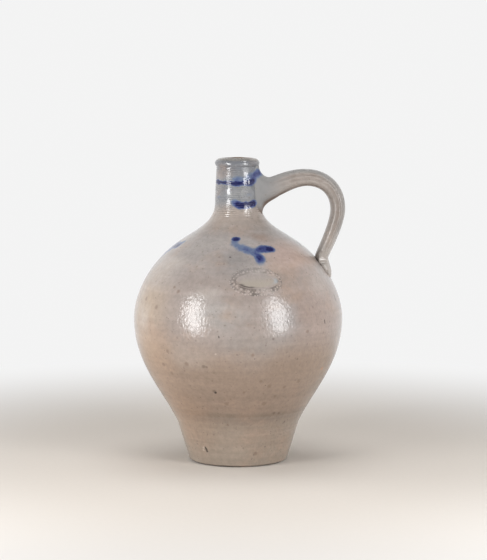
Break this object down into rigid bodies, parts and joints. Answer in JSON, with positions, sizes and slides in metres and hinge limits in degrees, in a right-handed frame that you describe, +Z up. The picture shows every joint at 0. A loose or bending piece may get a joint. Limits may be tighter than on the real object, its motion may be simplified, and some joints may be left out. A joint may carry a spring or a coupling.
{
  "type": "stoneware jug",
  "caption": "Salt-glazed stoneware jug with a full round belly, narrow corkable neck, pulled strap handle, blue brushed dabs and an applied oval beaded seal.",
  "frame": {"origin": "centre of the flat base, on the surface the jug stands on", "axes": "+Z up along the jug's axis and out of its mouth, +X towards the handle, -Y towards the front with the seal"},
  "size_m": [0.1883, 0.186, 0.2695],
  "materials": {
    "salt_glaze_body": "grey-buff salt glaze with an orange-peel gloss and cobalt-blue brushed dabs",
    "salt_glaze_handle": "grey-buff salt glaze, thinner and browner along the pulled edges",
    "seal_clay": "pale yellow-grey salt glaze over a moulded clay pad"
  },
  "bodies": {
    "root": {"foot_section": "salt_glaze_body", "belly_section": "salt_glaze_body", "neck_collar": "salt_glaze_body", "handle_strap": "salt_glaze_handle", "handle_root": "salt_glaze_handle", "handle_tail": "salt_glaze_handle", "seal": "seal_clay"}
  },
  "joints": []
}
